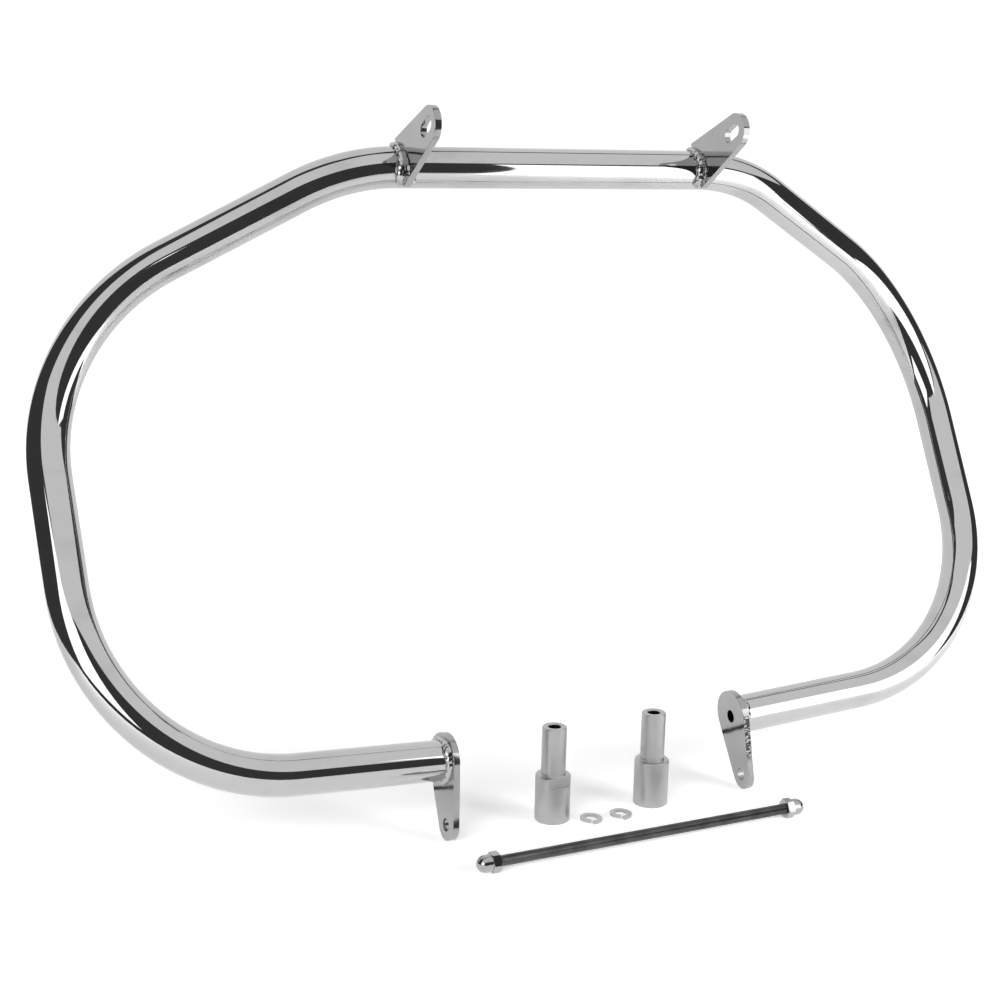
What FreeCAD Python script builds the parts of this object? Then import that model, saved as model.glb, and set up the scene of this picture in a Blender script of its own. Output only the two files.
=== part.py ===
import FreeCAD, Part
import math
import os
import Sketcher

# Engine guard for a motorcycle: one bent tube with four welded plates, and its loose mounting hardware.
# Frame: X runs along the guard, +Z is up, and -Y is the side of the slotted bracket tips.
# The origin is the middle of the line through the two rod holes of the lower plates.
# All sizes are in millimetres and all angles in degrees.

Vector = FreeCAD.Vector
doc = FreeCAD.newDocument("engine_guard")

# Driving dimensions: alias and value
DRIVING = [
    ("tube_diameter", 38.0),
    ("tube_wall", 2.0),
    ("bend_radius", 185.5),
    ("bar_corner_x", 210.2),
    ("bar_y", 140.7),
    ("bar_z", 586.0),
    ("shoulder_x", 484.5),
    ("shoulder_y", 199.8),
    ("shoulder_z", 438.5),
    ("foot_x", 477.5),
    ("foot_y", 7.2),
    ("foot_z", 77.2),
    ("tube_end_y", 18.8),
    ("tube_end_z", 55.0),
    ("plate_thickness", 6.4),
    ("lower_gap", 314.6),
    ("lower_rim", 6.7),
    ("lower_tip_radius", 15.0),
    ("vent_diameter", 12.4),
    ("upper_gap", 310.2),
    ("bracket_angle", 151.7),
    ("bracket_reach", 82.9),
    ("bracket_tip_radius", 16.5),
    ("bracket_foot", 9.0),
    ("bracket_lip", 5.2),
    ("slot_setback", 4.9),
    ("slot_length", 25.0),
    ("upper_bolt_diameter", 12.0),
    ("slot_clearance", 0.8),
    ("weld_leg", 4.5),
    ("weld_arc", 132.0),
    ("rod_diameter", 10.0),
    ("rod_clearance", 2.0),
    ("rod_length", 335.0),
    ("rod_chamfer", 1.0),
    ("rod_place_x", 4.8),
    ("rod_place_y", -76.5),
    ("nut_across_flats", 17.0),
    ("nut_hex_height", 8.0),
    ("nut_height", 21.0),
    ("nut_dome_radius", 8.0),
    ("nut_thread_depth", 17.0),
    ("nut_thread_play", 0.05),
    ("nut_engagement", 16.0),
    ("spacer_diameter", 33.6),
    ("spacer_stub_diameter", 23.4),
    ("spacer_length", 92.6),
    ("spacer_shoulder", 45.2),
    ("spacer_edge", 0.8),
    ("spacer_flat_depth", 4.8),
    ("spacer_flat_height", 9.0),
    ("spacer_flat_angle", -85.0),
    ("spacer_left_x", -50.8),
    ("spacer_left_y", 6.1),
    ("spacer_right_x", 56.1),
    ("spacer_right_y", 4.6),
    ("washer_inner_diameter", 12.4),
    ("washer_width", 4.4),
    ("washer_thickness", 2.5),
    ("washer_rise", 1.6),
    ("washer_turn", 0.965),
    ("washer_gap_angle", -104.0),
    ("washer_left_x", -18.3),
    ("washer_left_y", -11.9),
    ("washer_right_x", 13.2),
    ("washer_right_y", -13.1),
]

# Sizes worked out from the driving dimensions: alias and formula
DERIVED = [
    ("tube_radius", "=tube_diameter / 2"),
    ("tube_bore_radius", "=tube_diameter / 2 - tube_wall"),
    ("hole_x", "=lower_gap / 2"),
    ("floor_z", "=-lower_tip_radius"),
    ("end_span", "=foot_x - hole_x"),
    ("end_fall", "=tube_end_y * (foot_y - tube_end_y) + tube_end_z * (foot_z - tube_end_z)"),
    ("lower_lean", "=(end_span - sqrt(end_span * end_span + 4 * end_fall)) / 2"),
    ("lower_reach", "=sqrt(lower_lean * lower_lean + tube_end_y * tube_end_y + tube_end_z * tube_end_z)"),
    ("lower_top_radius", "=tube_radius + lower_rim"),
    ("vent_radius", "=vent_diameter / 2"),
    ("rod_radius", "=rod_diameter / 2"),
    ("rod_hole_radius", "=(rod_diameter + rod_clearance) / 2"),
    ("bracket_foot_half", "=tube_radius + bracket_lip"),
    ("slot_radius", "=(upper_bolt_diameter + slot_clearance) / 2"),
    ("slot_centre", "=bracket_reach - slot_setback"),
    ("slot_inner", "=slot_centre - slot_length / 2 + slot_radius"),
    ("slot_outer", "=slot_centre + slot_length / 2 - slot_radius"),
    ("nut_corner_radius", "=nut_across_flats / sqrt(3)"),
    ("nut_half_flats", "=nut_across_flats / 2"),
    ("nut_thread_radius", "=rod_radius + nut_thread_play"),
    ("nut_face_x", "=rod_length / 2 - nut_engagement"),
    ("rod_axis_z", "=floor_z + nut_half_flats"),
    ("spacer_radius", "=spacer_diameter / 2"),
    ("spacer_stub_radius", "=spacer_stub_diameter / 2"),
    ("washer_inner_radius", "=washer_inner_diameter / 2"),
]


def make_sheet():
    """The spreadsheet of named sizes."""
    table = doc.addObject("Spreadsheet::Sheet", "Sizes")
    for row, (alias, content) in enumerate(DRIVING + DERIVED, start=1):
        table.set("A%d" % row, alias)
        table.set("B%d" % row, str(content))
        table.setAlias("B%d" % row, alias)
    doc.recompute()
    return table


sheet = make_sheet()


def size(alias):
    """The number that a cell of the sheet holds."""
    return float(sheet.get(alias))


def bind(feature, **expressions):
    """Ties properties of a feature to expressions on the sheet."""
    for name, expression in expressions.items():
        feature.setExpression(name, expression)
    return feature


def add(kind, name, **expressions):
    """A new object of the document, with its properties tied to the sheet."""
    return bind(doc.addObject(kind, name), **expressions)


def cut(name, base, tool):
    """One solid minus another."""
    result = doc.addObject("Part::Cut", name)
    result.Base = base
    result.Tool = tool
    return result


def fuse(name, shapes):
    """Several solids joined into one."""
    result = doc.addObject("Part::MultiFuse", name)
    result.Shapes = shapes
    return result


def group(name, pieces):
    """Like pieces that stay separate solids, kept together in one node."""
    result = doc.addObject("Part::Compound", name)
    result.Links = pieces
    return result


def mirror(name, source):
    """The copy of a piece on the other side of the guard's middle plane."""
    result = doc.addObject("Part::Mirroring", name)
    result.Source = source
    result.Normal = Vector(1, 0, 0)
    result.Base = Vector(0, 0, 0)
    return result


def frame_placement(origin, x_axis, z_axis):
    """The placement whose local X and Z point along the two given directions."""
    y_axis = z_axis.cross(x_axis)
    rotation = FreeCAD.Rotation(x_axis, y_axis, z_axis, "ZXY")
    return FreeCAD.Placement(origin, rotation)


# Sketch helpers

def origin_plane(body, role):
    """A plane of the body's own origin, found by its role."""
    for feature in body.Origin.OriginFeatures:
        if feature.Role == role:
            return feature
    raise ValueError("no plane " + role)


def new_sketch(body, name, role):
    """A sketch on one of the body's own origin planes."""
    sketch = body.newObject("Sketcher::SketchObject", name)
    sketch.AttachmentSupport = [(origin_plane(body, role), "")]
    sketch.MapMode = "FlatFace"
    return sketch


def constrain(sketch, name, expression, *constraint):
    """A named dimension of a sketch, tied to the sheet."""
    index = sketch.addConstraint(Sketcher.Constraint(*constraint))
    sketch.renameConstraint(index, name)
    sketch.setExpression("Constraints." + name, expression)


def arc(centre, radius, start, end):
    """A circular arc in a sketch, counter-clockwise from start to end, in radians."""
    circle = Part.Circle(Vector(centre, 0, 0), Vector(0, 0, 1), radius)
    return Part.ArcOfCircle(circle, start, end)


def line(start, end):
    """A straight edge in a sketch."""
    return Part.LineSegment(Vector(start[0], start[1], 0), Vector(end[0], end[1], 0))


def belt(sketch, near, far, near_radius, far_radius):
    """Two arcs with their centres on the sketch's X axis, joined by two tangent lines.

    near and far are aliases of the centres' places, or None for the sketch's origin.
    """
    near_x = size(near) if near else 0.0
    far_x = size(far)
    small, large = size(near_radius), size(far_radius)
    slope = math.asin((small - large) / (far_x - near_x))
    up = math.pi / 2 - slope
    first = sketch.addGeometry(arc(near_x, small, up, 2 * math.pi - up))
    second = sketch.addGeometry(arc(far_x, large, -up, up))
    ends = {}
    for side in (1, -1):
        direction = (math.cos(up), side * math.sin(up))
        start = (near_x + small * direction[0], small * direction[1])
        end = (far_x + large * direction[0], large * direction[1])
        ends[side] = sketch.addGeometry(line(start, end))
    sketch.addConstraint([
        Sketcher.Constraint("Tangent", ends[1], 1, first, 1),
        Sketcher.Constraint("Tangent", ends[-1], 1, first, 2),
        Sketcher.Constraint("Tangent", ends[1], 2, second, 2),
        Sketcher.Constraint("Tangent", ends[-1], 2, second, 1),
        Sketcher.Constraint("PointOnObject", second, 3, -1),
    ])
    if near:
        sketch.addConstraint(Sketcher.Constraint("PointOnObject", first, 3, -1))
        constrain(sketch, near, "Sizes." + near, "DistanceX", -1, 1, first, 3, near_x)
    else:
        sketch.addConstraint(Sketcher.Constraint("Coincident", first, 3, -1, 1))
    constrain(sketch, far, "Sizes." + far, "DistanceX", -1, 1, second, 3, far_x)
    constrain(sketch, near_radius + "_near", "Sizes." + near_radius, "Radius", first, small)
    constrain(sketch, far_radius + "_far", "Sizes." + far_radius, "Radius", second, large)
    return second


def pad(body, sketch, length):
    """A pad of the sketch, its length tied to the sheet."""
    feature = body.newObject("PartDesign::Pad", sketch.Name + "_pad")
    feature.Profile = sketch
    sketch.Visibility = False
    return bind(feature, Length=length)


# Where the tube runs

def end_point():
    """The point where the tube's axis meets the inner face of the right lower plate."""
    x = size("hole_x") + size("lower_lean")
    return Vector(x, size("tube_end_y"), size("tube_end_z"))


def foot_corner():
    return Vector(size("foot_x"), size("foot_y"), size("foot_z"))


def end_direction():
    """The direction in which the tube leaves the right lower plate."""
    return (foot_corner() - end_point()).normalize()


def bent_path(corners, radius):
    """A wire of straight runs joined by tangent arcs of one radius."""
    edges = []
    start = corners[0]
    for before, corner, after in zip(corners, corners[1:], corners[2:]):
        inward = (before - corner).normalize()
        outward = (after - corner).normalize()
        half_angle = inward.getAngle(outward) / 2
        tangent = radius / math.tan(half_angle)
        middle = (inward + outward).normalize()
        centre = corner + middle * (radius / math.sin(half_angle))
        arc_start = corner + inward * tangent
        arc_end = corner + outward * tangent
        edges.append(Part.LineSegment(start, arc_start).toShape())
        edges.append(Part.Arc(arc_start, centre - middle * radius, arc_end).toShape())
        start = arc_end
    edges.append(Part.LineSegment(start, corners[-1]).toShape())
    return Part.Wire(edges)


def guard_corners():
    """The corners of the tube's axis, from the left end to the right end."""
    bar = Vector(size("bar_corner_x"), size("bar_y"), size("bar_z"))
    shoulder = Vector(size("shoulder_x"), size("shoulder_y"), size("shoulder_z"))
    end = end_point() + end_direction() * size("plate_thickness")
    right = [bar, shoulder, foot_corner(), end]
    left = [Vector(-point.x, point.y, point.z) for point in reversed(right)]
    return left + right


def swept_round(name, path, radius, start, direction):
    """A round bar of the given radius along the path."""
    ring = add("Part::Circle", name + "_section", Radius=radius)
    ring.Placement = FreeCAD.Placement(start, FreeCAD.Rotation(Vector(0, 0, 1), direction))
    sweep = doc.addObject("Part::Sweep", name)
    sweep.Sections = [ring]
    sweep.Spine = (path, ["Edge%d" % (i + 1) for i in range(len(path.Shape.Edges))])
    sweep.Solid = True
    sweep.Frenet = False
    return sweep


def make_tube():
    """The bent tube, open at both ends."""
    corners = guard_corners()
    path = doc.addObject("Part::Feature", "tube_axis")
    path.Shape = bent_path(corners, size("bend_radius"))
    direction = (corners[1] - corners[0]).normalize()
    outside = swept_round("tube_outside", path, "Sizes.tube_radius", corners[0], direction)
    inside = swept_round("tube_inside", path, "Sizes.tube_bore_radius", corners[0], direction)
    cut("guard_tube", outside, inside)
    return outside


# The four plates

def bracket_placement():
    """Local X points from the bar's axis to the bracket's tip, and local Z outwards along the bar."""
    angle = math.radians(size("bracket_angle"))
    origin = Vector(size("upper_gap") / 2, size("bar_y"), size("bar_z"))
    return frame_placement(origin, Vector(0, math.cos(angle), math.sin(angle)), Vector(1, 0, 0))


def make_bracket_body():
    """The flat plate of an upper bracket, with its slot."""
    body = doc.addObject("PartDesign::Body", "upper_bracket_plate")
    sketch = new_sketch(body, "bracket_outline", "XY_Plane")
    reach, radius = size("bracket_reach"), size("bracket_tip_radius")
    foot, half = size("bracket_foot"), size("bracket_foot_half")
    # the tangent from a foot corner touches the tip at this angle
    to_corner = math.atan2(half, foot - reach)
    touch = to_corner - math.acos(radius / math.hypot(reach - foot, half))
    tip = sketch.addGeometry(arc(reach, radius, -touch, touch))
    sides = []
    for side in (1, -1):
        start = (reach + radius * math.cos(touch), side * radius * math.sin(touch))
        sides.append(sketch.addGeometry(line(start, (foot, side * half))))
    base = sketch.addGeometry(line((foot, half), (foot, -half)))
    sketch.addConstraint([
        Sketcher.Constraint("Tangent", sides[0], 1, tip, 2),
        Sketcher.Constraint("Tangent", sides[1], 1, tip, 1),
        Sketcher.Constraint("Coincident", sides[0], 2, base, 1),
        Sketcher.Constraint("Coincident", sides[1], 2, base, 2),
        Sketcher.Constraint("PointOnObject", tip, 3, -1),
        Sketcher.Constraint("Symmetric", base, 1, base, 2, -1),
    ])
    constrain(sketch, "reach", "Sizes.bracket_reach", "DistanceX", -1, 1, tip, 3, reach)
    constrain(sketch, "radius", "Sizes.bracket_tip_radius", "Radius", tip, radius)
    constrain(sketch, "foot", "Sizes.bracket_foot", "DistanceX", -1, 1, base, 1, foot)
    constrain(sketch, "half", "Sizes.bracket_foot_half", "DistanceY", -1, 1, base, 1, half)
    belt(sketch, "slot_inner", "slot_outer", "slot_radius", "slot_radius")
    pad(body, sketch, "Sizes.plate_thickness")
    body.Placement = bracket_placement()
    return body


def lower_plate_placement():
    """Local X points from the rod hole to the tube's axis, and local Z outwards along the tube."""
    hole = Vector(size("hole_x"), 0, 0)
    return frame_placement(hole, (end_point() - hole).normalize(), end_direction())


def make_lower_plate_body():
    """The flat teardrop plate that closes the tube's end, with the vent hole at the tube's axis."""
    body = doc.addObject("PartDesign::Body", "lower_plate_blank")
    sketch = new_sketch(body, "lower_outline", "XY_Plane")
    top = belt(sketch, None, "lower_reach", "lower_tip_radius", "lower_top_radius")
    centre = Vector(size("lower_reach"), 0, 0)
    vent = sketch.addGeometry(Part.Circle(centre, Vector(0, 0, 1), size("vent_radius")))
    sketch.addConstraint(Sketcher.Constraint("Coincident", vent, 3, top, 3))
    constrain(sketch, "vent", "Sizes.vent_radius", "Radius", vent, size("vent_radius"))
    pad(body, sketch, "Sizes.plate_thickness")
    body.Placement = lower_plate_placement()
    return body


def make_upper_brackets(tube_outside):
    """Both upper brackets, each notched to seat on the bar."""
    right = cut("upper_bracket_right", make_bracket_body(), tube_outside)
    mirror("upper_bracket_left", right)


def make_lower_plates():
    """Both lower plates, drilled in line for the rod."""
    drill = add("Part::Cylinder", "rod_drill", Radius="Sizes.rod_hole_radius", Height="Sizes.lower_gap")
    drill.Placement = FreeCAD.Placement(Vector(0, 0, 0), FreeCAD.Rotation(Vector(0, 0, 1), Vector(1, 0, 0)))
    right = cut("lower_plate_right", make_lower_plate_body(), drill)
    mirror("lower_plate_left", right)


# The weld beads

def make_bead(name, sweep_angle, side):
    """A flat fillet bead about the local Z axis, on the tube's surface and against the plane z = 0.

    side is 1 for a bead that lies above that plane and -1 for one below it.
    """
    body = doc.addObject("PartDesign::Body", name)
    sketch = new_sketch(body, name + "_section", "XZ_Plane")
    surface, leg = size("tube_radius"), size("weld_leg")
    corners = [(surface, 0), (surface + leg, 0), (surface, side * leg)]
    against_plate, face, along_tube = [
        sketch.addGeometry(line(start, end)) for start, end in zip(corners, corners[1:] + corners[:1])]
    sketch.addConstraint([
        Sketcher.Constraint("Coincident", against_plate, 2, face, 1),
        Sketcher.Constraint("Coincident", face, 2, along_tube, 1),
        Sketcher.Constraint("Coincident", along_tube, 2, against_plate, 1),
        Sketcher.Constraint("PointOnObject", against_plate, 1, -1),
        Sketcher.Constraint("Horizontal", against_plate),
        Sketcher.Constraint("Vertical", along_tube),
        Sketcher.Constraint("Equal", against_plate, along_tube),
    ])
    constrain(sketch, "leg", "Sizes.weld_leg", "DistanceX", against_plate, 1, against_plate, 2, leg)
    constrain(sketch, "surface", "Sizes.tube_radius", "DistanceX", -1, 1, against_plate, 1, surface)
    turn = body.newObject("PartDesign::Revolution", name + "_turn")
    turn.Profile = sketch
    turn.ReferenceAxis = (sketch, ["V_Axis"])
    turn.Midplane = True
    bind(turn, Angle=sweep_angle)
    return body


def make_upper_welds():
    """The beads on both faces of each upper bracket, where it meets the bar."""
    inner = make_bead("upper_bead_inside", "Sizes.weld_arc", -1)
    inner.Placement = bracket_placement()
    outer = make_bead("upper_bead_outside", "Sizes.weld_arc", 1)
    outer.Placement = bracket_placement()
    outer.Placement.Base += Vector(size("plate_thickness"), 0, 0)
    mirrored = [mirror(bead.Name + "_left", bead) for bead in (inner, outer)]
    group("upper_bracket_welds", [inner, outer] + mirrored)


def make_lower_welds():
    """The bead round each end of the tube, on the outer face of its lower plate."""
    bead = make_bead("lower_bead", "360", 1)
    bead.Placement = lower_plate_placement()
    bead.Placement.Base = end_point() + end_direction() * size("plate_thickness")
    group("lower_plate_welds", [bead, mirror("lower_bead_left", bead)])


# The loose hardware

def circular_edges(shape, heights):
    """Numbers of the full circles of a shape that lie at the given heights."""
    found = []
    for number, edge in enumerate(shape.Edges, start=1):
        if isinstance(edge.Curve, Part.Circle) and edge.isClosed():
            if any(abs(edge.Curve.Center.z - height) < 1e-6 for height in heights):
                found.append(number)
    return found


def chamfered(name, base, heights, width):
    """A copy of a turned piece with its edges broken at the given heights."""
    doc.recompute()
    result = doc.addObject("Part::Chamfer", name)
    result.Base = base
    result.Edges = [(number, width, width) for number in circular_edges(base.Shape, heights)]
    return result


def make_spacer(side, milled):
    """A turned spacer: a wide body, a narrower stub on top and a through bore.

    The milled one has a short flat at the top of its wide body.
    """
    name = "spacer_" + side
    wide = add("Part::Cylinder", name + "_wide", Radius="Sizes.spacer_radius", Height="Sizes.spacer_shoulder")
    stub = add("Part::Cylinder", name + "_stub", Radius="Sizes.spacer_stub_radius",
               Height="Sizes.spacer_length")
    bore = add("Part::Cylinder", name + "_bore", Radius="Sizes.rod_hole_radius", Height="Sizes.spacer_length")
    turned = cut(name + "_turned", fuse(name + "_round", [wide, stub]), bore)
    heights = (0.0, size("spacer_length"), size("spacer_shoulder"))
    piece = chamfered(name if not milled else name + "_broken", turned, heights, size("spacer_edge"))
    if milled:
        mill = add("Part::Box", name + "_mill", Length="Sizes.spacer_radius", Width="Sizes.spacer_diameter",
                   Height="Sizes.spacer_flat_height")
        turn = FreeCAD.Rotation(Vector(0, 0, 1), size("spacer_flat_angle"))
        reach = size("spacer_radius") - size("spacer_flat_depth")
        corner = Vector(reach, -size("spacer_radius"), size("spacer_shoulder") - size("spacer_flat_height"))
        mill.Placement = FreeCAD.Placement(turn.multVec(corner), turn)
        piece = cut(name, piece, mill)
    place = Vector(size("spacer_%s_x" % side), size("spacer_%s_y" % side), size("floor_z"))
    piece.Placement = FreeCAD.Placement(place, FreeCAD.Rotation())


def make_washer(side):
    """A split spring washer: one turn of square wire that rises from end to end."""
    name = "washer_" + side
    body = doc.addObject("PartDesign::Body", name)
    sketch = new_sketch(body, name + "_section", "XZ_Plane")
    inner, width, height = size("washer_inner_radius"), size("washer_width"), size("washer_thickness")
    points = [(inner, 0), (inner + width, 0), (inner + width, height), (inner, height)]
    sides = [sketch.addGeometry(line(a, b)) for a, b in zip(points, points[1:] + points[:1])]
    for first, second in zip(sides, sides[1:] + sides[:1]):
        sketch.addConstraint(Sketcher.Constraint("Coincident", first, 2, second, 1))
    for number, kind in zip(sides, ("Horizontal", "Vertical", "Horizontal", "Vertical")):
        sketch.addConstraint(Sketcher.Constraint(kind, number))
    sketch.addConstraint(Sketcher.Constraint("PointOnObject", sides[0], 1, -1))
    constrain(sketch, "inner", "Sizes.washer_inner_radius", "DistanceX", -1, 1, sides[0], 1, inner)
    constrain(sketch, "width", "Sizes.washer_width", "DistanceX", sides[0], 1, sides[0], 2, width)
    constrain(sketch, "height", "Sizes.washer_thickness", "DistanceY", sides[1], 1, sides[1], 2, height)
    coil = body.newObject("PartDesign::AdditiveHelix", name + "_coil")
    coil.Profile = sketch
    coil.ReferenceAxis = (sketch, ["V_Axis"])
    coil.Mode = 0
    bind(coil, Pitch="Sizes.washer_rise / Sizes.washer_turn", Height="Sizes.washer_rise")
    place = Vector(size("washer_%s_x" % side), size("washer_%s_y" % side), size("floor_z"))
    turn = FreeCAD.Rotation(Vector(0, 0, 1), size("washer_gap_angle"))
    body.Placement = FreeCAD.Placement(place, turn)
    return body


def rod_placement(x, towards):
    """A place on the loose rod's axis, with local Z along it, outwards on the given side."""
    origin = Vector(size("rod_place_x") + x, size("rod_place_y"), size("rod_axis_z"))
    return frame_placement(origin, Vector(0, towards, 0), Vector(towards, 0, 0))


def make_rod():
    """The threaded rod, drawn at its outer diameter."""
    bar = add("Part::Cylinder", "rod_bar", Radius="Sizes.rod_radius", Height="Sizes.rod_length")
    rod = chamfered("threaded_rod", bar, (0.0, size("rod_length")), size("rod_chamfer"))
    rod.Placement = rod_placement(-size("rod_length") / 2, 1)


def make_nut(side, towards):
    """A domed cap nut with a blind threaded bore, its hexagon lying on a flat."""
    name = "cap_nut_" + side
    hexagon = add("Part::Prism", name + "_hexagon", Circumradius="Sizes.nut_corner_radius",
                  Height="Sizes.nut_hex_height")
    hexagon.Polygon = 6
    cone = {"Radius2": "Sizes.nut_half_flats", "Height": "Sizes.nut_hex_height"}
    wide = "Sizes.nut_half_flats + Sizes.nut_hex_height * tan(60 deg)"
    outer_bevel = add("Part::Cone", name + "_outer_bevel", Radius1=wide, **cone)
    inner_bevel = add("Part::Cone", name + "_inner_bevel", Radius1="Sizes.nut_half_flats", Radius2=wide,
                      Height="Sizes.nut_hex_height")
    bevelled = doc.addObject("Part::MultiCommon", name + "_bevelled")
    bevelled.Shapes = [hexagon, outer_bevel, inner_bevel]
    shoulder = "Sizes.nut_height - Sizes.nut_dome_radius"
    collar = add("Part::Cylinder", name + "_collar", Radius="Sizes.nut_dome_radius", Height=shoulder)
    dome = add("Part::Sphere", name + "_dome", Radius="Sizes.nut_dome_radius")
    dome.Placement.Base = Vector(0, 0, size("nut_height") - size("nut_dome_radius"))
    bore = add("Part::Cylinder", name + "_bore", Radius="Sizes.nut_thread_radius",
               Height="Sizes.nut_thread_depth")
    solid = fuse(name + "_solid", [bevelled, collar, dome])
    nut = cut(name, solid, bore)
    nut.Placement = rod_placement(towards * size("nut_face_x"), towards)
    return nut


PIECES = [
    "guard_tube",
    "upper_bracket_left", "upper_bracket_right", "upper_bracket_welds",
    "lower_plate_left", "lower_plate_right", "lower_plate_welds",
    "spacer_left", "spacer_right", "spring_washers",
    "threaded_rod", "cap_nuts",
]


def check_document():
    """Stops if any object failed, or if a piece is empty or broken."""
    for feature in doc.Objects:
        if "Invalid" in feature.State or "Error" in feature.State:
            raise RuntimeError("failed: %s %s" % (feature.Name, feature.State))
    for name in PIECES:
        shape = doc.getObject(name).Shape
        if shape.isNull() or not shape.isValid() or not shape.Solids:
            raise RuntimeError("bad shape: " + name)


def main():
    tube_outside = make_tube()
    make_upper_brackets(tube_outside)
    make_lower_plates()
    make_upper_welds()
    make_lower_welds()
    make_spacer("left", milled=True)
    make_spacer("right", milled=False)
    group("spring_washers", [make_washer("left"), make_washer("right")])
    make_rod()
    group("cap_nuts", [make_nut("left", -1), make_nut("right", 1)])
    doc.recompute()
    check_document()
    os.makedirs("parts", exist_ok=True)
    for name in PIECES:
        piece = doc.getObject(name)
        piece.Label = name
        piece.Shape.exportStep("parts/%s.step" % name)


main()
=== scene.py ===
"""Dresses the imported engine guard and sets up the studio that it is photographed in.

Everything is in metres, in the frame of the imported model: X runs along the guard's width, Z is up,
and the camera looks from the side of -Y. The origin is the middle of the lower rod holes' line.
"""
import math
import random

import bmesh
import bpy
from mathutils import Matrix, Vector


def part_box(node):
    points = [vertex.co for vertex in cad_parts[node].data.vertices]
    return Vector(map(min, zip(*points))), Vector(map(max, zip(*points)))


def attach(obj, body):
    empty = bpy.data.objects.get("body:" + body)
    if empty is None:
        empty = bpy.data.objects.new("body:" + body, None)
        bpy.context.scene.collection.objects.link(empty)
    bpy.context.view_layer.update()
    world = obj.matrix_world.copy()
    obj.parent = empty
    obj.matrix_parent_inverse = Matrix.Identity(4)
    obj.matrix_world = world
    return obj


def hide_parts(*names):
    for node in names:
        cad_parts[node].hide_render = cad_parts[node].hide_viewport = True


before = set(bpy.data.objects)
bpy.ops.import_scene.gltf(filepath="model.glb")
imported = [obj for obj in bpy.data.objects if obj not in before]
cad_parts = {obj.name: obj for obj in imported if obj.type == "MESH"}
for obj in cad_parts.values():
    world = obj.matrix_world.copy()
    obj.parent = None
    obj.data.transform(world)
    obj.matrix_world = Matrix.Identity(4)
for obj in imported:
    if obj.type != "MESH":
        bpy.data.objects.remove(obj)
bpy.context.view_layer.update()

bl_info = {
    "name": "Engine guard finisher",
    "version": (1, 0, 0),
    "blender": (4, 5, 0),
    "location": "3D View > Sidebar > Engine Guard",
    "description": "Finishes a chromed engine guard and its fitting kit, and sets up their studio",
    "category": "Object",
}

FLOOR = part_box("lower_plate_right")[0][2]


# Sizes and colours that a user would change

def length(name, description, default):
    """A length property in metres."""
    return bpy.props.FloatProperty(name=name, description=description, default=default, unit="LENGTH", precision=5)


def shade(name, description, default):
    """A colour property."""
    return bpy.props.FloatVectorProperty(name=name, description=description, default=default, size=3,
                                         subtype="COLOR", min=0.0, max=1.0)


def angle(name, description, degrees):
    """An angle property, from its default in degrees."""
    return bpy.props.FloatProperty(name=name, description=description, default=math.radians(degrees),
                                   subtype="ANGLE", unit="ROTATION")


def spot(name, description, default):
    """A place in the guard's frame, in metres."""
    return bpy.props.FloatVectorProperty(name=name, description=description, default=default,
                                         subtype="TRANSLATION", unit="LENGTH")


def level(name, description, default):
    """A brightness, never below 0."""
    return bpy.props.FloatProperty(name=name, description=description, default=default, min=0.0)


class GuardShape(bpy.types.PropertyGroup):
    """Where the bent tube runs, and the sizes of the pieces on it."""
    tube_diameter: length("Tube diameter", "Outside diameter of the tube", 0.038)
    tube_wall: length("Tube wall", "Wall thickness of the tube", 0.002)
    bend_radius: length("Bend radius", "Radius of each bend, at the tube's axis", 0.1855)
    bar_corner: spot("Bar corner", "Where the top bar's axis meets the shoulder run's", (0.2102, 0.1407, 0.586))
    shoulder: spot("Shoulder corner", "Where the shoulder run's axis meets the side run's", (0.4845, 0.1998, 0.4385))
    foot: spot("Foot corner", "Where the side run's axis meets the end run's", (0.4775, 0.0072, 0.0772))
    end: spot("Tube end", "Where the end run's axis meets the lower plate's inner face", (0.15307, 0.0188, 0.055))
    plate_thickness: length("Plate thickness", "Thickness of the four plates", 0.0064)
    plate_edge: length("Plate edge", "Rounding of the plates' edges", 0.0004)
    bracket_angle: angle("Bracket angle", "Direction of the upper brackets, from +Y towards +Z", 151.7)
    bead_leg: length("Bead leg", "Height of a weld bead", 0.0045)
    bead_arc: angle("Bead arc", "How far an upper weld bead goes round the bar", 132)
    bead_front: angle("Bead front", "Where a lower bead is thickest, from its back and over the top", 165)
    bead_step: length("Bead step", "Distance from one ripple of a weld bead to the next", 0.0068)


class KitShape(bpy.types.PropertyGroup):
    """The loose pieces of the fitting kit."""
    thread_diameter: length("Thread diameter", "Outer diameter of the rod's thread", 0.010)
    thread_pitch: length("Thread pitch", "Distance from one turn of the thread to the next", 0.0015)
    thread_depth: length("Thread depth", "Depth of the thread's groove", 0.00092)
    # The spacers' bore walls inside this radius get painted shade, a dark steel colour.
    bore_radius: length("Bore radius", "The spacers' faces nearer to their axis than this are dark", 0.0061)
    spacer_edge: length("Spacer edge", "Rounding of the spacers' edges", 0.00015)
    washer_edge: length("Washer edge", "Rounding of the spring washers' wire", 0.0007)
    nut_edge: length("Nut edge", "Rounding of the cap nuts' edges", 0.0004)


class Finishes(bpy.types.PropertyGroup):
    """Colours of the pieces."""
    chrome: shade("Chrome", "Bright chrome plate on the tube", (0.50, 0.50, 0.505))
    nut_chrome: shade("Nut chrome", "Chrome plate on the cap nuts", (0.40, 0.40, 0.405))
    plate_chrome: shade("Plate chrome", "Duller chrome plate on the four plates", (0.37, 0.37, 0.37))
    zinc: shade("Zinc", "Satin zinc plate on the spacers", (0.45, 0.45, 0.455))
    pale_zinc: shade("Pale zinc", "Brighter zinc plate on the washers", (0.48, 0.48, 0.48))
    dark_steel: shade("Dark steel", "Oiled steel of the rod", (0.085, 0.085, 0.085))


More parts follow.
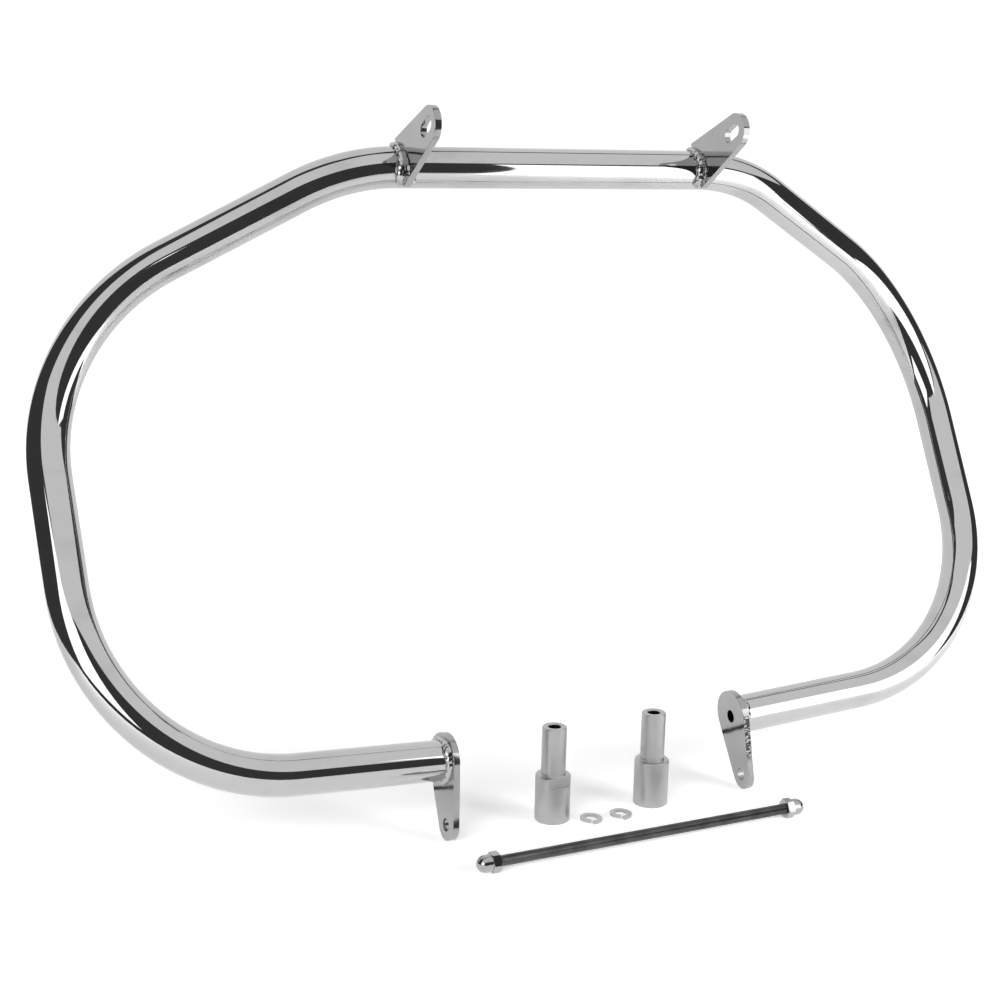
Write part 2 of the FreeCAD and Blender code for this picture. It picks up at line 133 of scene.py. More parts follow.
class Studio(bpy.types.PropertyGroup):
    """The camera, the floor and the lamps."""
    camera_place: spot("Camera place", "Where the camera stands", (-0.75405, -1.31314, 0.62844))
    camera_yaw: angle("Yaw", "Turn of the camera away from +Y, towards +X", 25.91)
    camera_pitch: angle("Pitch", "How far the camera looks down", 12.64)
    camera_roll: angle("Roll", "Turn of the camera about its own line of sight", 1.325)
    lens: bpy.props.FloatProperty(name="Lens", description="Focal length on a 36 mm sensor, in millimetres",
                                  default=60.66)
    floor_colour: shade("Floor", "Pale floor", (0.90, 0.90, 0.90))
    floor_glow: level("Floor glow", "How much the floor adds to its own light", 0.33)
    room_level: level("Room level", "How dim the room is in reflections", 0.06)
    card_level: level("Card level", "How bright the white cards are in reflections", 1.0)
    softbox_level: level("Softbox level", "How bright the softboxes are in reflections", 2.4)
    # The dark seam is a painted shadow of the top bar: a dark strip on the floor under the bar, which only
    # reflections see.
    bar_shadow_at: length("Seam", "Where a dark seam of the floor crosses, which only reflections see", 0.128)
    bar_shadow_width: length("Seam width", "Width of that seam", 0.010)
    paper_sides: bpy.props.FloatVectorProperty(
        name="Paper sides", description="Where the floor paper ends left and right of the camera's line",
        default=(-1.15, 1.35), size=2, unit="LENGTH")
    paper_front: length("Paper front", "Where the floor paper ends towards the camera", -0.75)


# Nodes of a material, written as maths

class Wire:
    """One output socket; the usual operators add Math nodes to its tree."""

    def __init__(self, tree, socket):
        self.tree, self.socket = tree, socket

    def maths(self, operation, *others, clamp=False):
        values = {number + 1: other for number, other in enumerate(others)}
        return self.tree.add("Math", {"operation": operation, "use_clamp": clamp}, {0: self, **values})

    def __add__(self, other):
        return self.maths("ADD", other)

    def __rsub__(self, other):
        return self.tree.add("Math", {"operation": "SUBTRACT"}, {0: other, 1: self})

    def __mul__(self, other):
        return self.maths("MULTIPLY", other)

    def __gt__(self, other):
        return self.maths("GREATER_THAN", other)

    __radd__ = __add__
    __rmul__ = __mul__

    def clamped(self):
        return self.maths("ADD", 0.0, clamp=True)

    def between(self, low, high):
        """0 where this is low, 1 where it is high, and smooth from one to the other."""
        settings = {"interpolation_type": "SMOOTHSTEP"}
        return self.tree.add("MapRange", settings, {"Value": self, "From Min": low, "From Max": high})


class Tree:
    """The node tree of one material or world."""

    def __init__(self, owner):
        owner.use_nodes = True
        self.nodes, self.links = owner.node_tree.nodes, owner.node_tree.links
        self.nodes.clear()

    def add(self, kind, settings=None, inputs=None, output=0):
        """A node of a type, with its settings and then its inputs, and one of its outputs."""
        node = self.nodes.new("ShaderNode" + kind)
        for name, value in (settings or {}).items():
            setattr(node, name, value)
        for name, value in (inputs or {}).items():
            socket = node.inputs[name]
            if isinstance(value, Wire):
                self.links.new(value.socket, socket)
            else:
                socket.default_value = value
        return Wire(self, node.outputs[output])

    def place(self, scale=(1.0, 1.0, 1.0)):
        """The piece's own coordinates, scaled."""
        coordinates = self.add("TexCoord", output="Object")
        return self.add("Mapping", inputs={"Vector": coordinates, "Scale": scale})

    def noise(self, where, size, detail=2.0):
        """Noise from 0 to 1 whose lumps are about that size, in metres."""
        return self.add("TexNoise", inputs={"Vector": where, "Scale": 1.0 / size, "Detail": detail})

    def mix(self, share, first, second):
        """A colour between two colours."""
        return self.add("Mix", {"data_type": "RGBA"}, {0: share, 6: first, 7: second}, output=2)

    def bump(self, height, strength, distance):
        return self.add("Bump", inputs={"Height": height, "Strength": strength, "Distance": distance})

    def finish(self, **inputs):
        """The surface of the material."""
        sockets = {name.replace("_", " "): value for name, value in inputs.items()}
        surface = self.add("BsdfPrincipled", inputs=sockets)
        self.add_output("OutputMaterial", surface)

    def add_output(self, kind, surface):
        node = self.nodes.new("ShaderNode" + kind)
        self.links.new(surface.socket, node.inputs["Surface"])


def rgba(colour, level=1.0):
    return (colour[0] * level, colour[1] * level, colour[2] * level, 1.0)


# Materials

def bright_chrome(name, colour):
    """Mirror chrome with faint polishing waves and a few dull smears."""
    material = bpy.data.materials.new(name)
    tree = Tree(material)
    smears = tree.noise(tree.place(scale=(1.0, 1.0, 2.5)), 0.09, detail=4.0).between(0.52, 0.75)
    haze = tree.noise(tree.place(), 0.012, detail=3.0)
    waves = tree.noise(tree.place(), 0.05, detail=1.0)
    tree.finish(
        Base_Color=tree.mix(smears * 0.7 + haze * 0.3, rgba(colour, 1.04), rgba(colour, 0.84)),
        Metallic=1.0,
        Roughness=0.035 + smears * 0.03 + haze * 0.015,
        Normal=tree.bump(waves, 0.05, 0.0006),
    )
    return material


# Depth of the cut lines on the plates' edges, and how much painted shade their grooves get for each metre of depth
SMOOTH_CUT, ROUGH_CUT = 0.00002, 0.0012
SHADE_PER_DEPTH = 800.0
# Heights between which the lines fade in and out, at their lower and upper end
CUT_BOTTOM, CUT_TOP = (0.016, 0.026), (0.068, 0.060)


def plate_chrome(name, cut_depth):
    """Chrome over laser-cut plate: soft rolling marks on the faces, cut lines across the edges with painted shade in
    their grooves.
    """
    look = bpy.context.scene.guard_finishes
    material = bpy.data.materials.new(name)
    tree = Tree(material)
    normal = tree.add("NewGeometry", output="True Normal")
    sideways = tree.add("SeparateXYZ", inputs={"Vector": normal}).maths("ABSOLUTE")
    height_up = tree.add("SeparateXYZ", inputs={"Vector": tree.place()}, output="Z")
    cut_run = height_up.between(*CUT_TOP) * height_up.between(*CUT_BOTTOM)
    edge = 1.0 - sideways.between(0.5, 0.8)
    cut_lines = tree.noise(tree.place(scale=(0.35, 1.0, 1.0)), 0.0016, detail=1.0)
    rolling = tree.noise(tree.place(), 0.03, detail=2.0)
    height = cut_lines * edge * cut_run * cut_depth + rolling * 0.0003
    tone = (rolling * 0.6 + edge * 0.2).clamped()
    clean = tree.mix(tone, rgba(look.plate_chrome, 1.12), rgba(look.plate_chrome, 0.82))
    # Painted shade: the grooves of the cut lines are darkened towards a near-black chrome, more where they are
    # deeper.
    groove_shade = cut_lines.between(0.58, 0.48) * edge * cut_run * (cut_depth * SHADE_PER_DEPTH)
    tree.finish(
        Base_Color=tree.mix(groove_shade.clamped(), clean, rgba(look.plate_chrome, 0.1)),
        Metallic=1.0,
        Roughness=0.06 + edge * 0.04 + rolling * 0.05,
        Normal=tree.bump(height, 0.5, 1.0),
    )
    return material


def weld_chrome():
    """Chrome over a hand-laid bead, bright and uneven like a frozen liquid."""
    look = bpy.context.scene.guard_finishes
    material = bpy.data.materials.new("weld_chrome")
    tree = Tree(material)
    grain = tree.noise(tree.place(), 0.0012, detail=2.0)
    flow = tree.noise(tree.place(), 0.004, detail=2.0)
    tree.finish(
        Base_Color=tree.mix(flow, rgba(look.chrome, 1.1), rgba(look.plate_chrome, 0.9)),
        Metallic=1.0,
        Roughness=0.04 + grain * 0.04,
        Normal=tree.bump(flow, 0.6, 0.0012),
    )
    return material


def satin_zinc(name, colour):
    """Turned steel under satin zinc: fine rings round Z, with a cloudy tone."""
    material = bpy.data.materials.new(name)
    tree = Tree(material)
    rings = tree.noise(tree.place(scale=(0.03, 0.03, 1.0)), 0.0007, detail=3.0)
    clouds = tree.noise(tree.place(), 0.012, detail=4.0)
    grain = tree.noise(tree.place(), 0.0009, detail=2.0)
    tree.finish(
        Base_Color=tree.mix(clouds, rgba(colour, 1.08), rgba(colour, 0.90)),
        Metallic=1.0,
        Roughness=0.30 + clouds * 0.12,
        Normal=tree.bump(rings * 0.6 + grain * 0.4, 0.22, 0.00015),
    )
    return material


def oiled_steel():
    """Dark steel of the rod, a little brighter where it is rubbed."""
    look = bpy.context.scene.guard_finishes
    material = bpy.data.materials.new("oiled_steel")
    tree = Tree(material)
    wear = tree.noise(tree.place(), 0.02, detail=3.0)
    grain = tree.noise(tree.place(), 0.0005, detail=2.0)
    tree.finish(
        Base_Color=tree.mix(wear.between(0.35, 0.65), rgba(look.dark_steel, 0.85), rgba(look.dark_steel, 1.35)),
        Metallic=1.0,
        Roughness=0.16 + grain * 0.10,
        Normal=tree.bump(grain, 0.1, 0.0001),
    )
    return material


def dress(piece, material):
    """Gives the whole piece one material."""
    piece.data.materials.clear()
    piece.data.materials.append(material)


# Modelling helpers

def deselect():
    if bpy.context.mode != "OBJECT":
        bpy.ops.object.mode_set(mode="OBJECT")
    bpy.ops.object.select_all(action="DESELECT")


def choose(*pieces):
    """Selects these pieces alone; the first is active."""
    deselect()
    for piece in pieces:
        piece.select_set(True)
    bpy.context.view_layer.objects.active = pieces[0]


def rest_at_origin(piece):
    """Puts the piece's place into its mesh."""
    choose(piece)
    bpy.ops.object.transform_apply(location=True, rotation=True, scale=True)


def modifier(piece, kind, **settings):
    """Adds a modifier and applies it."""
    choose(piece)
    bpy.ops.object.modifier_add(type=kind)
    added = piece.modifiers[-1]
    for name, value in settings.items():
        setattr(added, name, value)
    bpy.ops.object.modifier_apply(modifier=added.name)


def mend_normals(piece):
    """Merges doubles and turns every face outwards."""
    choose(piece)
    bpy.ops.object.mode_set(mode="EDIT")
    bpy.ops.mesh.select_all(action="SELECT")
    bpy.ops.mesh.remove_doubles(threshold=1e-6)
    bpy.ops.mesh.normals_make_consistent(inside=False)
    bpy.ops.object.mode_set(mode="OBJECT")


def smooth(piece, angle=math.radians(40)):
    choose(piece)
    bpy.ops.object.shade_smooth_by_angle(angle=angle)


def claim(piece, name, slot, *nodes):
    """Names the piece, puts it on the guard's body and has it stand for its CAD nodes."""
    piece.name = name
    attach(piece, "root")
    if nodes:
        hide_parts(*nodes)


def mirrored(piece, name):
    """A copy on the other side of X = 0, with its own mesh."""
    choose(piece)
    bpy.ops.object.duplicate()
    copy = bpy.context.object
    copy.name = name
    copy.scale.x = -1.0
    rest_at_origin(copy)
    mend_normals(copy)
    return copy


def joined(pieces):
    choose(*pieces)
    bpy.ops.object.join()
    return bpy.context.object


def softened(node, name, width, segments=2):
    """A merged copy of a CAD node with its sharp edges rounded to that width."""
    choose(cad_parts[node])
    bpy.ops.object.duplicate()
    copy = bpy.context.object
    copy.name = name
    rest_at_origin(copy)
    bpy.ops.object.mode_set(mode="EDIT")
    bpy.ops.mesh.select_all(action="SELECT")
    bpy.ops.mesh.remove_doubles(threshold=2e-6)
    bpy.ops.mesh.dissolve_limited(angle_limit=math.radians(0.5))
    bpy.ops.object.mode_set(mode="OBJECT")
    modifier(copy, "BEVEL", width=width, segments=segments, limit_method="ANGLE", angle_limit=math.radians(35))
    smooth(copy)
    modifier(copy, "WEIGHTED_NORMAL", mode="FACE_AREA", weight=100, keep_sharp=True)
    return copy


# The guard's own directions

def tube_corners(shape):
    """The corners of the tube's axis from the left end to the right end."""
    end, foot = Vector(shape.end), Vector(shape.foot)
    face = end + (foot - end).normalized() * shape.plate_thickness
    right = [Vector(shape.bar_corner), Vector(shape.shoulder), foot, face]
    left = [Vector((-corner.x, corner.y, corner.z)) for corner in reversed(right)]
    return left + right


def end_frame(shape):
    """The place of the right lower plate's outer face on the tube's axis; local Z runs outwards along it."""
    end = Vector(shape.end)
    outwards = (Vector(shape.foot) - end).normalized()
    turn = outwards.to_track_quat("Z", "Y")
    return Matrix.Translation(end + outwards * shape.plate_thickness) @ turn.to_matrix().to_4x4()


def bracket_frame(shape, face_x):
    """A place on the bar's axis; local X points to the right bracket's tip and local Z along +X."""
    tip = Vector((0.0, math.cos(shape.bracket_angle), math.sin(shape.bracket_angle)))
    outwards = Vector((1.0, 0.0, 0.0))
    turn = Matrix((tip, outwards.cross(tip), outwards)).transposed().to_4x4()
    return Matrix.Translation(Vector((face_x, shape.bar_corner[1], shape.bar_corner[2]))) @ turn


# Operators, one for each piece or group of like pieces

class GUARD_OT_bend_tube(bpy.types.Operator):
    """Bends the tube along its six corners, with a wall and mirror chrome"""
    bl_idname = "guard.bend_tube"
    bl_label = "Bend the tube"

    def execute(self, context):
        shape = context.scene.guard_shape
        deselect()
        bpy.ops.curve.primitive_bezier_curve_add()
        tube = context.object
        curve = tube.data
        curve.dimensions = "3D"
        curve.resolution_u = 28
        curve.bevel_depth = shape.tube_diameter / 2
        curve.bevel_resolution = 16
        self.lay_out(curve.splines[0], tube_corners(shape), shape.bend_radius)
        choose(tube)
        bpy.ops.object.convert(target="MESH")
        tube = context.object
        rest_at_origin(tube)
        mend_normals(tube)
        modifier(tube, "SOLIDIFY", thickness=shape.tube_wall, offset=-1.0)
        smooth(tube, math.radians(50))
        dress(tube, bright_chrome("bright_chrome", context.scene.guard_finishes.chrome))
        claim(tube, "bent_tube", "chrome_tube", "guard_tube")
        return {"FINISHED"}

    def lay_out(self, spline, corners, radius):
        """Sets the spline to straight runs joined by tangent arcs."""
        places = [(corners[0], None)]
        for before, corner, after in zip(corners, corners[1:], corners[2:]):
            inwards, outwards = (before - corner).normalized(), (after - corner).normalized()
            turn = math.pi - inwards.angle(outwards)
            tangent = radius * math.tan(turn / 2)
            handle = radius * 4 / 3 * math.tan(turn / 4)
            places.append((corner + inwards * tangent, -inwards * handle))
            places.append((corner + outwards * tangent, -outwards * handle))
        places.append((corners[-1], None))
        spline.bezier_points.add(len(places) - len(spline.bezier_points))
        for number, (point, (place, handle)) in enumerate(zip(spline.bezier_points, places)):
            point.handle_left_type = point.handle_right_type = "FREE"
            point.co = place
            before, after = places[max(number - 1, 0)][0], places[min(number + 1, len(places) - 1)][0]
            point.handle_left = place + (before - place) / 3
            point.handle_right = place + (after - place) / 3
            if handle and number % 2:
                point.handle_right = place + handle
            elif handle:
                point.handle_left = place + handle


class GUARD_OT_plate_brackets(bpy.types.Operator):
    """Rounds the edges of the four plates and chromes them"""
    bl_idname = "guard.plate_brackets"
    bl_label = "Finish the plates"

    def execute(self, context):
        edge = context.scene.guard_shape.plate_edge
        smooth_cut = plate_chrome("plate_chrome", SMOOTH_CUT)
        rough_cut = plate_chrome("rough_plate_chrome", ROUGH_CUT)
        for node in ("upper_bracket_left", "upper_bracket_right", "lower_plate_left", "lower_plate_right"):
            plate = softened(node, node + "_plate", edge)
            dress(plate, rough_cut if node == "lower_plate_right" else smooth_cut)
            claim(plate, node + "_plate", "chrome_plate", node)
        return {"FINISHED"}


# How far the drops of a bead stray, in radians round the tube and in metres off it, and its mesh size
ANGLE_PLAY, HEIGHT_PLAY = 0.05, 0.0006
BEAD_VOXEL = 0.0004


class GUARD_OT_lay_beads(bpy.types.Operator):
    """Lays rippled weld beads where the plates meet the tube"""
    bl_idname = "guard.lay_beads"
    bl_label = "Lay the weld beads"

    def execute(self, context):
        shape = context.scene.guard_shape
        material = weld_chrome()
        dice = random.Random(7)
        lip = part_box("upper_bracket_right")
        half = shape.bead_arc / 2
        inner = self.bead(shape, bracket_frame(shape, lip[0][0]), -1.0, -half, half, half, dice)
        outer = self.bead(shape, bracket_frame(shape, lip[1][0]), 1.0, -half, half, half, dice)
        upper = joined([inner, outer])
        upper = joined([upper, mirrored(upper, "upper_beads_left")])
        lower = self.bead(shape, end_frame(shape), 1.0, 0.0, math.tau, shape.bead_front, dice)
        lower = joined([lower, mirrored(lower, "lower_bead_left")])
        for beads, name, node in (
                (upper, "upper_beads", "upper_bracket_welds"), (lower, "lower_beads", "lower_plate_welds")):
            dress(beads, material)
            claim(beads, name, "chrome_weld", node)
        return {"FINISHED"}

    def bead(self, shape, where, side, start, end, thickest, dice):
        """A row of overlapping drops round the tube, fused into one bead that is thickest at one angle."""
        radius = shape.tube_diameter / 2 + shape.bead_leg * 0.2
        steps = round((end - start) * radius / shape.bead_step)
        whole = end - start > math.tau - 0.01
        drops = []
        for number in range(steps if whole else steps + 1):
            angle = start + (end - start) * number / steps + dice.uniform(-ANGLE_PLAY, ANGLE_PLAY)
            front = 0.5 + 0.5 * math.cos(angle - thickest)
            thickness = 0.45 + 0.6 * front if whole else 0.8 + 0.25 * front
            size = shape.bead_leg * dice.uniform(0.85, 1.1) * thickness
            deselect()
            bpy.ops.mesh.primitive_uv_sphere_add(segments=20, ring_count=12, radius=1.0)
            drop = bpy.context.object
            height = radius + dice.uniform(-HEIGHT_PLAY, HEIGHT_PLAY)
            from_plate = side * size * dice.uniform(0.1, 0.3)
            along = shape.bead_step * dice.uniform(0.8, 1.25)
            local = Matrix.Rotation(angle, 4, "Z") @ Matrix.Translation((height, 0.0, from_plate))
            drop.matrix_world = where @ local @ Matrix.Diagonal((size * 0.8, along, size * 1.3, 1.0))
            drops.append(drop)
        bead = joined(drops)
        rest_at_origin(bead)
        modifier(bead, "REMESH", mode="VOXEL", voxel_size=BEAD_VOXEL)
        modifier(bead, "SMOOTH", factor=0.5, iterations=20)
        smooth(bead, math.radians(80))
        return bead


class GUARD_OT_finish_spacers(bpy.types.Operator):
    """Breaks the edges of the two spacers and plates them"""
    bl_idname = "guard.finish_spacers"
    bl_label = "Finish the spacers"

    def execute(self, context):
        look, kit = context.scene.guard_finishes, context.scene.guard_kit
        outside, inside = satin_zinc("satin_zinc", look.zinc), satin_zinc("bore_painted_shade", look.dark_steel)
        for node in ("spacer_left", "spacer_right"):
            spacer = softened(node, node + "_turned", kit.spacer_edge)
            dress(spacer, outside)
            spacer.data.materials.append(inside)
            # Painted shade: the bore's inner wall takes the dark material, standing in for the shade inside the hole.
            low, high = (Vector(corner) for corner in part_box(node))
            for face in spacer.data.polygons:
                near = (face.center.xy - (low + high).xy / 2).length < kit.bore_radius
                if near and abs(face.normal.z) < 0.5:
                    face.material_index = 1
            claim(spacer, node + "_turned", "zinc_steel", node)
        return {"FINISHED"}


class GUARD_OT_finish_washers(bpy.types.Operator):
    """Rounds the wire of the two spring washers and plates it"""
    bl_idname = "guard.finish_washers"
    bl_label = "Finish the spring washers"

    def execute(self, context):
        washers = softened("spring_washers", "washers", context.scene.guard_kit.washer_edge, 3)
        dress(washers, satin_zinc("pale_zinc", context.scene.guard_finishes.pale_zinc))
        claim(washers, "split_washers", "zinc_steel", "spring_washers")
        return {"FINISHED"}


class GUARD_OT_cut_thread(bpy.types.Operator):
    """Cuts the thread of the long rod as a helix"""
    bl_idname = "guard.cut_thread"
    bl_label = "Cut the rod's thread"

    def execute(self, context):
        kit = context.scene.guard_kit
        low, high = (Vector(corner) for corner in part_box("threaded_rod"))
        turns = math.floor((high.x - low.x) / kit.thread_pitch) - 1
        crest = kit.thread_diameter / 2
        root = crest - kit.thread_depth
        deselect()
        bpy.ops.mesh.primitive_circle_add(vertices=4, radius=crest)
        rod = context.object
        self.one_groove(rod, crest, root, kit.thread_pitch)
        modifier(rod, "SCREW", axis="Z", angle=math.tau, screw_offset=kit.thread_pitch, iterations=turns,
                 steps=28, render_steps=28, use_merge_vertices=False, use_smooth_shade=True)
        self.close_ends(rod)
        rod.rotation_euler = (0.0, math.pi / 2, 0.0)
        spare = high.x - low.x - (turns + 1) * kit.thread_pitch
        rod.location = (low.x + spare / 2, (low.y + high.y) / 2, (low.z + high.z) / 2)
        rest_at_origin(rod)
        mend_normals(rod)
        smooth(rod, math.radians(60))
        dress(rod, oiled_steel())
        claim(rod, "long_rod", "dark_steel", "threaded_rod")
        return {"FINISHED"}

    def one_groove(self, rod, crest, root, pitch):
        """Turns the new circle into the open outline of one groove, crest to crest."""
        outline = bmesh.new()
        # Radius of each corner, and its place as a share of the pitch
        places = [(crest, 0.06), (root, 0.42), (root, 0.58), (crest, 0.94), (crest, 1.06)]
        corners = [outline.verts.new((radius, 0.0, share * pitch)) for radius, share in places]
        for first, second in zip(corners, corners[1:]):
            outline.edges.new((first, second))
        outline.to_mesh(rod.data)
        outline.free()

    def close_ends(self, rod):
        """Merges the turns and fills the two open ends."""
        choose(rod)
        bpy.ops.object.mode_set(mode="EDIT")
        bpy.ops.mesh.select_all(action="SELECT")
        bpy.ops.mesh.remove_doubles(threshold=1e-6)
        bpy.ops.mesh.select_all(action="DESELECT")
        bpy.ops.mesh.select_mode(type="EDGE")
        bpy.ops.mesh.select_non_manifold()
        bpy.ops.mesh.fill_holes(sides=0)
        bpy.ops.object.mode_set(mode="OBJECT")


class GUARD_OT_finish_nuts(bpy.types.Operator):
    """Softens the edges of the two cap nuts and chromes them"""
    bl_idname = "guard.finish_nuts"
    bl_label = "Finish the cap nuts"

    def execute(self, context):
        nuts = softened("cap_nuts", "nuts", context.scene.guard_kit.nut_edge)
        dress(nuts, bright_chrome("nut_chrome", context.scene.guard_finishes.nut_chrome))
        claim(nuts, "domed_nuts", "chrome_nut", "cap_nuts")
        return {"FINISHED"}


# Name, place, aim, width and height, and power of the two softboxes in front of the guard and the one above
SOFTBOXES = (
    ("left_softbox", (-1.19, -0.847, 0.53), (0.0, 0.05, 0.53), (0.98, 0.95), 28.0),
    ("right_softbox", (1.225, -1.05, 0.35), (1.42, -0.07, 0.35), (1.58, 1.30), 52.0),
)
TOP_SOFTBOX = ("top_softbox", (-0.1, 0.1, 3.2), (0.0, 0.05, 0.25), (2.6, 2.6), 8.0)

# Level of the overhead cards, their outlines from above, and the outlines of the upright cards
CEILING = 2.2
OVERHEAD = (
    (-2.6, -2.9), (4.5, -2.9), (4.5, 0.45), (0.60, 0.45), (0.34, -0.02), (0.12, -0.06), (-0.3, -0.15),
    (-0.7, -0.10), (-0.95, 0.02), (-1.15, -0.03), (-1.6, -0.35), (-2.14, -0.54), (-2.6, -0.60))
OVERHEAD_BACK = (
    (-0.56, 0.31), (-0.45, 0.28), (-0.27, 0.18), (0.0, 0.17), (0.13, 0.19), (0.34, 0.32), (0.62, 0.72), (-0.35, 0.72))
BACK = ((-0.62, 0.72, FLOOR), (1.9, 0.72, FLOOR), (1.9, 0.72, 2.5), (-0.62, 0.72, 2.5))
LEFT = ((-0.62, 0.03, FLOOR), (-0.62, 0.03, CEILING), (-0.62, 1.0, CEILING), (-0.62, 1.0, FLOOR))
# Where the painted shadow of the top bar on the floor starts and ends, and how far it lies above the floor
BAR_SHADOW_ENDS = (-0.3, 0.14)
BAR_SHADOW_LIFT = 0.0005


class GUARD_OT_set_studio(bpy.types.Operator):
    """Sets the floor, the surroundings, the lamps and the camera"""
    bl_idname = "guard.set_studio"
    bl_label = "Set the studio"

    def execute(self, context):
        studio = context.scene.guard_studio
        self.floor(studio)
        self.surroundings(context)
        self.lamps()
        self.cards()
        self.camera(context, studio)
        context.scene.view_settings.view_transform = "Standard"
        return {"FINISHED"}

    def seen_directly(self, tree):
        """1 for rays of the camera and of reflections and clear glass."""
        names = ("Is Camera Ray", "Is Glossy Ray", "Is Transmission Ray")
        paths = [tree.add("LightPath", output=name) for name in names]
        return (paths[0] + paths[1] + paths[2]).clamped()

    def floor(self, studio):
        """A pale floor that keeps the shadows. Reflections see it only as far as the paper would reach."""
        deselect()
        bpy.ops.mesh.primitive_circle_add(vertices=64, radius=6.0, fill_type="NGON", location=(0.0, 0.0, FLOOR))
        floor = bpy.context.object
        floor.name = "studio_floor"
        material = bpy.data.materials.new("studio_floor")
        tree = Tree(material)
        diffuse = tree.add("BsdfDiffuse", inputs={"Color": rgba(studio.floor_colour)})
        spot = tree.add("NewGeometry", output="Position")
        turned = tree.add("VectorRotate", {"rotation_type": "Z_AXIS"}, {"Vector": spot, "Angle": studio.camera_yaw})
        across, along = (tree.add("SeparateXYZ", inputs={"Vector": turned}, output=axis) for axis in (0, 1))
        away = tree.add("VectorMath", {"operation": "LENGTH"}, {0: spot}, output=1)
        level = along.between(-0.45, 0.55) * 0.30 + away.between(0.6, 1.8) * 0.45 + studio.floor_glow
        glow = tree.add("Emission", inputs={"Strength": self.seen_directly(tree) * level})
        paper = tree.add("AddShader", inputs={0: diffuse, 1: glow})
        left, right = studio.paper_sides
        outside = ((across > right) + (left - across > 0.0) + (studio.paper_front - along > 0.0)).clamped()
        glossy = tree.add("LightPath", output="Is Glossy Ray")
        surface = tree.add("MixShader", inputs={0: outside * glossy, 1: paper, 2: tree.add("BsdfTransparent")})
        tree.add_output("OutputMaterial", surface)
        dress(floor, material)

    def surroundings(self, context):
        """White behind the guard, with a dim room that only reflections see."""
        world = bpy.data.worlds.new("studio_world")
        context.scene.world = world
        tree = Tree(world)
        glossy = tree.add("LightPath", output="Is Glossy Ray")
        level = 0.10 + self.seen_directly(tree) * 0.95
        room = context.scene.guard_studio.room_level
        strength = level * (1.0 - glossy) + glossy * room
        surface = tree.add("Background", inputs={"Color": rgba((1.0, 1.0, 1.0)), "Strength": strength})
        tree.add_output("OutputWorld", surface)

    def lamps(self):
        """Two softboxes in front of the guard and a large one above it, which reflections don't see."""
        for name, place, aim, size, energy in (*SOFTBOXES, TOP_SOFTBOX):
            deselect()
            bpy.ops.object.light_add(type="AREA")
            lamp = bpy.context.object
            lamp.name = name
            lamp.data.shape = "RECTANGLE"
            lamp.data.size, lamp.data.size_y = size
            lamp.data.energy = energy
            lamp.matrix_world = self.aimed(place, aim)
            lamp.visible_camera = lamp.visible_glossy = False

    def aimed(self, place, aim):
        """A lamp's place and turn, with its light going towards the aim."""
        turn = (Vector(aim) - Vector(place)).to_track_quat("-Z", "Y")
        return Matrix.Translation(place) @ turn.to_matrix().to_4x4()

    def cards(self):
        """Cards that only reflections see: softbox faces, a painted shadow of the top bar on the floor, and white
        ones with gaps to the dim room.
        """
        studio = bpy.context.scene.guard_studio
        white = self.plain_light("white_card", studio.card_level)
        bright = self.plain_light("softbox_face", studio.softbox_level)
        for name, place, aim, (width, height), _ in SOFTBOXES:
            corners = [(across * width / 2, up * height / 2, 0.0)
                       for across, up in ((-1, -1), (1, -1), (1, 1), (-1, 1))]
            self.card(name + "_face", bright, corners, self.aimed(place, aim))
        # A dark strip on the floor under the top bar: its painted shadow, seen only in reflections.
        bar_shadow = self.plain_light("painted_bar_shadow", 0.02)
        front, back = studio.bar_shadow_at - studio.bar_shadow_width / 2, studio.bar_shadow_at + studio.bar_shadow_width / 2
        left, right = BAR_SHADOW_ENDS
        corners = [(x, y, FLOOR + BAR_SHADOW_LIFT) for x, y in ((left, front), (right, front), (right, back), (left, back))]
        self.card("floor_bar_shadow", bar_shadow, corners)
        self.card("overhead_card", white, [(x, y, CEILING) for x, y in OVERHEAD])
        self.card("overhead_back_card", white, [(x, y, CEILING) for x, y in OVERHEAD_BACK])
        self.card("back_card", white, BACK)
        self.card("left_card", white, LEFT, Matrix.Rotation(-studio.camera_yaw, 4, "Z"))

    def plain_light(self, name, level):
        """A material that shines evenly, whatever falls on it."""
        material = bpy.data.materials.new(name)
        tree = Tree(material)
        tree.add_output("OutputMaterial", tree.add("Emission", inputs={"Strength": level}))
        return material

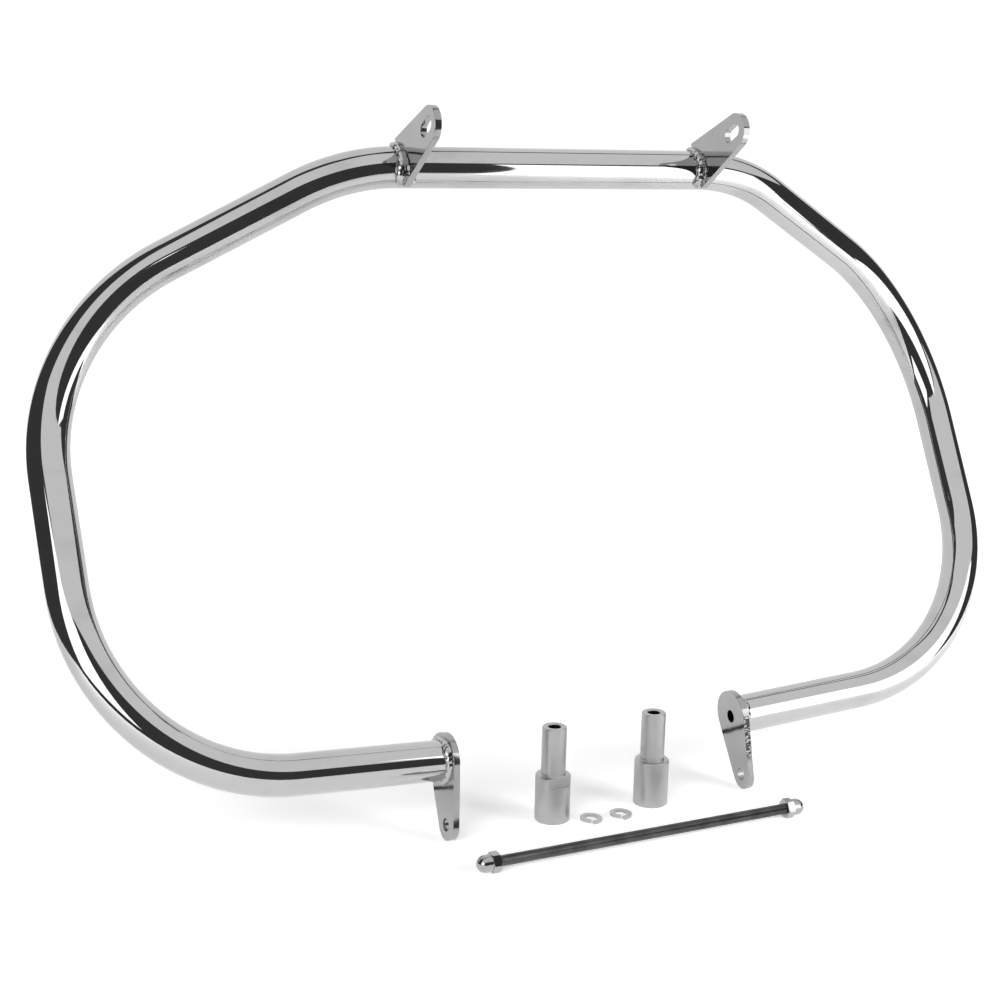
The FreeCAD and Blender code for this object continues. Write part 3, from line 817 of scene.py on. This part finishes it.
    def card(self, name, material, corners, turn=Matrix.Identity(4)):
        """A flat card with these corners, moved and turned."""
        deselect()
        bpy.ops.mesh.primitive_circle_add(vertices=len(corners), fill_type="NGON")
        card = bpy.context.object
        card.name = name
        for vertex, corner in zip(card.data.vertices, corners):
            vertex.co = turn @ Vector(corner)
        dress(card, material)
        card.visible_camera = card.visible_diffuse = card.visible_transmission = card.visible_shadow = False

    def camera(self, context, studio):
        deselect()
        bpy.ops.object.camera_add(location=studio.camera_place)
        camera = context.object
        camera.name = "studio_camera"
        camera.rotation_mode = "QUATERNION"
        yaw = Matrix.Rotation(-studio.camera_yaw, 3, "Z")
        pitch = Matrix.Rotation(math.pi / 2 - studio.camera_pitch, 3, "X")
        turn = yaw @ pitch @ Matrix.Rotation(studio.camera_roll, 3, "Z")
        camera.rotation_quaternion = turn.to_quaternion()
        camera.data.sensor_width = 36.0
        camera.data.lens = studio.lens
        camera.data.clip_end = 50.0
        context.scene.camera = camera


class GUARD_PT_sidebar(bpy.types.Panel):
    """Lists the steps in the 3D view's sidebar"""
    bl_label = "Engine Guard"
    bl_idname = "GUARD_PT_sidebar"
    bl_space_type = "VIEW_3D"
    bl_region_type = "UI"
    bl_category = "Engine Guard"

    def draw(self, context):
        for step in STEPS:
            self.layout.operator(step.bl_idname)


STEPS = (
    GUARD_OT_bend_tube,
    GUARD_OT_plate_brackets,
    GUARD_OT_lay_beads,
    GUARD_OT_finish_spacers,
    GUARD_OT_finish_washers,
    GUARD_OT_cut_thread,
    GUARD_OT_finish_nuts,
    GUARD_OT_set_studio,
)
GROUPS = {"guard_shape": GuardShape, "guard_kit": KitShape, "guard_finishes": Finishes, "guard_studio": Studio}


def register():
    for kind in (*GROUPS.values(), *STEPS, GUARD_PT_sidebar):
        bpy.utils.register_class(kind)
    for name, group in GROUPS.items():
        setattr(bpy.types.Scene, name, bpy.props.PointerProperty(type=group))


def unregister():
    for name in GROUPS:
        delattr(bpy.types.Scene, name)
    for kind in (GUARD_PT_sidebar, *reversed(STEPS), *GROUPS.values()):
        bpy.utils.unregister_class(kind)


def main():
    register()
    for step in STEPS:
        area, name = step.bl_idname.split(".")
        getattr(getattr(bpy.ops, area), name)()


if __name__ == "__main__":
    main()
